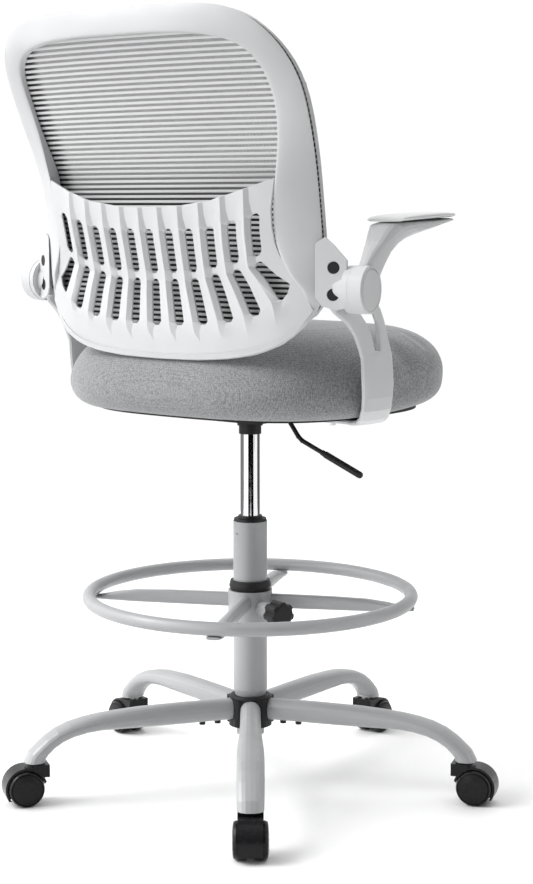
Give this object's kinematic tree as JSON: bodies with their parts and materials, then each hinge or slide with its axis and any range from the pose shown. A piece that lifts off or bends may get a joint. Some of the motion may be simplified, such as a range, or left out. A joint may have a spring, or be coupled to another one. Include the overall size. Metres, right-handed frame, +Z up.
{
  "type": "drafting chair",
  "caption": "Drafting chair: five-leg caster base, gas column, height-adjustable foot ring, upholstered seat, flip-up arms and a mesh back in a ribbed plastic shell",
  "frame": {"origin": "on the floor under the column axis", "axes": "+X towards the seated person's left side, +Y towards the back of the chair, +Z up"},
  "size_m": [0.7006, 0.6776, 1.086],
  "materials": {
    "grey_paint": "satin",
    "white_plastic": "satin",
    "pad_plastic": "matte",
    "black_plastic": "satin",
    "caster_black": "gloss",
    "chrome": "polished",
    "steel": "satin",
    "seat_fabric": "woven",
    "mesh_fabric": "sheer mesh"
  },
  "bodies": {
    "base": {"hub_casting": "black_plastic", "column_tube": "grey_paint", "guide_bush": "black_plastic", "leg_1": "grey_paint", "leg_2": "grey_paint", "leg_3": "grey_paint", "leg_4": "grey_paint", "leg_5": "grey_paint", "leg_bolts": "steel", "stem_sockets": "steel"},
    "caster_1": {"caster_hood_1": "caster_black", "caster_pins_1": "steel"},
    "roller_left_1": {"wheel_left_1": "caster_black"},
    "roller_right_1": {"wheel_right_1": "caster_black"},
    "caster_2": {"caster_hood_2": "caster_black", "caster_pins_2": "steel"},
    "roller_left_2": {"wheel_left_2": "caster_black"},
    "roller_right_2": {"wheel_right_2": "caster_black"},
    "caster_3": {"caster_hood_3": "caster_black", "caster_pins_3": "steel"},
    "roller_left_3": {"wheel_left_3": "caster_black"},
    "roller_right_3": {"wheel_right_3": "caster_black"},
    "caster_4": {"caster_hood_4": "caster_black", "caster_pins_4": "steel"},
    "roller_left_4": {"wheel_left_4": "caster_black"},
    "roller_right_4": {"wheel_right_4": "caster_black"},
    "caster_5": {"caster_hood_5": "caster_black", "caster_pins_5": "steel"},
    "roller_left_5": {"wheel_left_5": "caster_black"},
    "roller_right_5": {"wheel_right_5": "caster_black"},
    "piston": {"piston_rod": "chrome", "thrust_washer": "steel"},
    "seat": {"pressure_tube": "chrome", "dust_boot": "black_plastic", "mechanism_plate": "black_plastic", "seat_board": "black_plastic", "seat_cushion": "seat_fabric", "seat_bolts": "steel", "bracket_left": "white_plastic", "bracket_right": "white_plastic", "bracket_screws": "black_plastic", "arm_pivot_pins": "steel", "back_frame": "white_plastic", "lumbar_panel": "white_plastic", "mesh_carrier": "black_plastic", "back_mesh_rear": "mesh_fabric", "back_mesh_front": "mesh_fabric"},
    "lever": {"height_lever": "black_plastic", "lever_grip": "black_plastic"},
    "button": {"release_pin": "steel"},
    "sleeve": {"ring_sleeve": "black_plastic"},
    "foot_rest": {"ring_hoop": "grey_paint", "ring_hub": "grey_paint"},
    "knob": {"ring_knob": "black_plastic"},
    "arm_left": {"armrest_left": "white_plastic", "arm_pad_left": "pad_plastic", "arm_cap_left": "white_plastic"},
    "arm_right": {"armrest_right": "white_plastic", "arm_pad_right": "pad_plastic", "arm_cap_right": "white_plastic"}
  },
  "joints": [
    {"name": "caster_swivel_1", "type": "hinge", "parent": "base", "child": "caster_1", "pos_m": [-0.19761, 0.24402, 0.05], "axis": [0, 0, 1], "continuous": true},
    {"name": "wheel_roll_left_1", "type": "hinge", "parent": "caster_1", "child": "roller_left_1", "pos_m": [-0.21019, 0.25957, 0.025], "axis": [-0.7771, -0.6293, 0], "continuous": true},
    {"name": "wheel_roll_right_1", "type": "hinge", "parent": "caster_1", "child": "roller_right_1", "pos_m": [-0.21019, 0.25957, 0.025], "axis": [-0.7771, -0.6293, 0], "continuous": true},
    {"name": "caster_swivel_2", "type": "hinge", "parent": "base", "child": "caster_2", "pos_m": [-0.29314, -0.11253, 0.05], "axis": [0, 0, 1], "continuous": true},
    {"name": "wheel_roll_left_2", "type": "hinge", "parent": "caster_2", "child": "roller_left_2", "pos_m": [-0.31182, -0.11969, 0.025], "axis": [0.3584, -0.9336, 0], "continuous": true},
    {"name": "wheel_roll_right_2", "type": "hinge", "parent": "caster_2", "child": "roller_right_2", "pos_m": [-0.31182, -0.11969, 0.025], "axis": [0.3584, -0.9336, 0], "continuous": true},
    {"name": "caster_swivel_3", "type": "hinge", "parent": "base", "child": "caster_3", "pos_m": [0.01643, -0.31357, 0.05], "axis": [0, 0, 1], "continuous": true},
    {"name": "wheel_roll_left_3", "type": "hinge", "parent": "caster_3", "child": "roller_left_3", "pos_m": [0.01748, -0.33354, 0.025], "axis": [0.9986, 0.0523, 0], "continuous": true},
    {"name": "wheel_roll_right_3", "type": "hinge", "parent": "caster_3", "child": "roller_right_3", "pos_m": [0.01748, -0.33354, 0.025], "axis": [0.9986, 0.0523, 0], "continuous": true},
    {"name": "caster_swivel_4", "type": "hinge", "parent": "base", "child": "caster_4", "pos_m": [0.3033, -0.08127, 0.05], "axis": [0, 0, 1], "continuous": true},
    {"name": "wheel_roll_left_4", "type": "hinge", "parent": "caster_4", "child": "roller_left_4", "pos_m": [0.32262, -0.08645, 0.025], "axis": [0.2588, 0.9659, 0], "continuous": true},
    {"name": "wheel_roll_right_4", "type": "hinge", "parent": "caster_4", "child": "roller_right_4", "pos_m": [0.32262, -0.08645, 0.025], "axis": [0.2588, 0.9659, 0], "continuous": true},
    {"name": "caster_swivel_5", "type": "hinge", "parent": "base", "child": "caster_5", "pos_m": [0.17102, 0.26334, 0.05], "axis": [0, 0, 1], "continuous": true},
    {"name": "wheel_roll_left_5", "type": "hinge", "parent": "caster_5", "child": "roller_left_5", "pos_m": [0.18191, 0.28012, 0.025], "axis": [-0.8387, 0.5446, 0], "continuous": true},
    {"name": "wheel_roll_right_5", "type": "hinge", "parent": "caster_5", "child": "roller_right_5", "pos_m": [0.18191, 0.28012, 0.025], "axis": [-0.8387, 0.5446, 0], "continuous": true},
    {"name": "seat_swivel", "type": "hinge", "parent": "base", "child": "piston", "pos_m": [0, 0, 0.1], "axis": [0, 0, 1], "continuous": true},
    {"name": "seat_lift", "type": "slide", "parent": "piston", "child": "seat", "axis": [0, 0, 1], "range_m": [-0.11, 0.09]},
    {"name": "height_lever_turn", "type": "hinge", "parent": "seat", "child": "lever", "pos_m": [-0.046, 0, 0.5395], "axis": [0, 1, 0], "range_deg": [0, 3], "stiffness_Nm_per_rad": 4, "springref_deg": -2.86},
    {"name": "release_button", "type": "slide", "parent": "seat", "child": "button", "axis": [0, 0, -1], "range_m": [0, 0.0025]},
    {"name": "foot_ring_height", "type": "slide", "parent": "base", "child": "sleeve", "axis": [0, 0, 1], "range_m": [-0.08, 0.075]},
    {"name": "foot_ring_turn", "type": "hinge", "parent": "sleeve", "child": "foot_rest", "pos_m": [0, 0, 0.278], "axis": [0, 0, 1], "continuous": true},
    {"name": "ring_knob_turn", "type": "hinge", "parent": "foot_rest", "child": "knob", "pos_m": [-0.06657, 0.02163, 0.262], "axis": [-0.9511, 0.309, 0], "range_deg": [0, 360]},
    {"name": "arm_left_flip", "type": "hinge", "parent": "seat", "child": "arm_left", "pos_m": [0.278, 0.1265, 0.729], "axis": [-0.9848, 0.1736, 0], "range_deg": [0, 90]},
    {"name": "arm_right_flip", "type": "hinge", "parent": "seat", "child": "arm_right", "pos_m": [-0.278, 0.1265, 0.729], "axis": [-0.9848, -0.1736, 0], "range_deg": [0, 90]}
  ],
  "couplings": [
    {"joint": "release_button", "follows": "height_lever_turn", "m_per_rad": 0.038}
  ]
}
